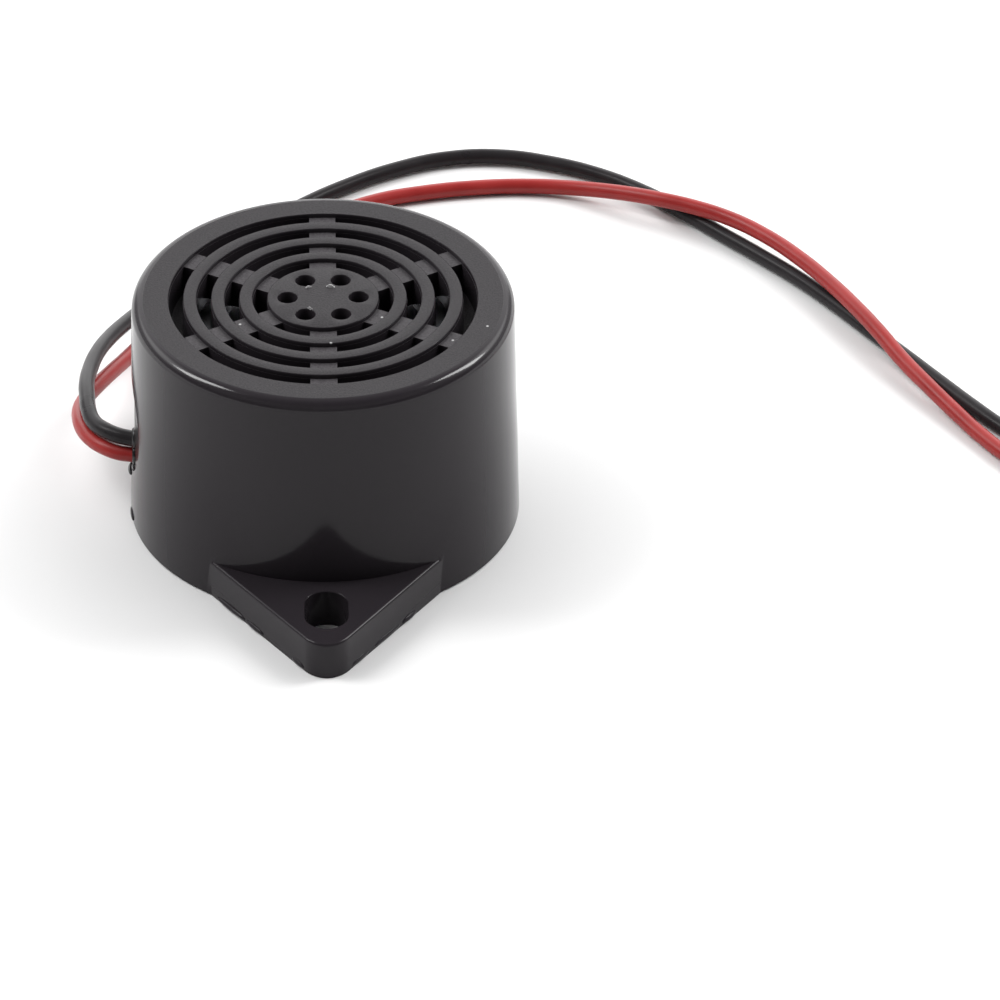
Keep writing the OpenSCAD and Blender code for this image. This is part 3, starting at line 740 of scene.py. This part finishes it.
dress(finish("moulded_epoxy", (0.014, 0.014, 0.014), (0.026, 0.026, 0.026),
             gloss=0.5, spread=0.08, grain=5000, smudge=300, dent=0.01 * MM), "transistor")
dress(finish("resistor_lacquer", (0.46, 0.31, 0.16), (0.60, 0.43, 0.24),
             gloss=0.3, spread=0.06, grain=3000, smudge=500, dent=0.01 * MM), "resistors")
dress(finish("diode_glass", (0.38, 0.08, 0.02), (0.50, 0.13, 0.04),
             gloss=0.12, spread=0.04, grain=2000, smudge=500, dent=0.004 * MM), "diode")
dress(tinned, "choke_pins", "component_legs", "lead_cores")
dress(red_pvc, "drive_wire", "red_lead_root")
dress(black_pvc, "plate_wire", "black_lead_root")
dress(finish("white_pvc", (0.58, 0.58, 0.56), (0.70, 0.70, 0.68),
             gloss=0.4, spread=0.06, grain=2600, smudge=300, dent=0.01 * MM), "feedback_wire")


# Table: a plain pale sheet that the buzzer stands on.
# It lies a hair below the foot, and it is not part of the buzzer.
TABLE_Z = -0.02 * MM
bpy.ops.object.select_all(action="DESELECT")
bpy.ops.mesh.primitive_plane_add(size=6, location=(0, 0, TABLE_Z))
table = bpy.context.object
table.name = "table"
table_white, _, shader = new_material("table_white")
shader.inputs["Base Color"].default_value = (0.82, 0.82, 0.82, 1)
shader.inputs["Roughness"].default_value = 0.7
table.data.materials.append(table_white)
table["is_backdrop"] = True


# Light: a large soft box on each side of the table with a small bright strip before it,
# of which only the strip shows in shiny faces. The surroundings are pale behind the table,
# and dim in front of it, overhead and low down at both sides.
BOX_POWER = 4.8
BOX_SIZE = (1, 1)
STRIP_POWER = 2.7
STRIP_SIZE = (0.2, 0.4)
BACK_Y = (-0.15, 0.5)
BACK_GLOW = (0.17, 2.4)
OVERHEAD_Z = (0.6, 0.85)
OVERHEAD_GLOW = (1, 0.2)
FLANK_X = (0.3, 0.55)
FLANK_SHADE = (0, 0.8)
HORIZON_Z = (0.28, 0.48)
HORIZON_SHADE = (1, 0)


def soft_box(name, place, power, size, mirrored):
    lamp = bpy.data.lights.new(name, "AREA")
    lamp.shape = "RECTANGLE"
    lamp.size, lamp.size_y = size
    lamp.energy = power
    made = bpy.data.objects.new(name, lamp)
    made.location = place
    made.rotation_euler = (-Vector(place)).to_track_quat("-Z", "Y").to_euler()
    made.visible_glossy = mirrored
    bpy.context.collection.objects.link(made)


soft_box("left_box", (-0.62, 0.1, 0.72), BOX_POWER, BOX_SIZE, False)
soft_box("right_box", (0.66, 0.2, 0.66), BOX_POWER, BOX_SIZE, False)
soft_box("left_strip", (-0.56, 0.09, 0.65), STRIP_POWER, STRIP_SIZE, True)
soft_box("right_strip", (0.6, 0.18, 0.6), STRIP_POWER, STRIP_SIZE, True)
world = bpy.data.worlds.new("studio")
bpy.context.scene.world = world
world.use_nodes = True
sky = world.node_tree
way = sky.nodes.new("ShaderNodeTexCoord")
parts = sky.nodes.new("ShaderNodeSeparateXYZ")
sky.links.new(way.outputs["Generated"], parts.inputs["Vector"])
sideways = maths(sky, "ABSOLUTE", parts.outputs["X"])
smooth = {"interpolation_type": "SMOOTHSTEP"}
back = ramp(sky, parts.outputs["Y"], *BACK_Y, *BACK_GLOW, **smooth)
overhead = ramp(sky, parts.outputs["Z"], *OVERHEAD_Z, *OVERHEAD_GLOW, **smooth)
flank = ramp(sky, sideways, *FLANK_X, *FLANK_SHADE, **smooth)
horizon = ramp(sky, parts.outputs["Z"], *HORIZON_Z, *HORIZON_SHADE, **smooth)
left_over = node(sky, "ShaderNodeMath", {0: 1}, operation="SUBTRACT")
sky.links.new(maths(sky, "MULTIPLY", flank, horizon), left_over.inputs[1])
glow = maths(sky, "MULTIPLY", back, overhead)
sky.links.new(maths(sky, "MULTIPLY", glow, left_over.outputs["Value"]),
              sky.nodes["Background"].inputs["Color"])
bpy.context.scene.view_settings.view_transform = "Standard"

low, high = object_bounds()
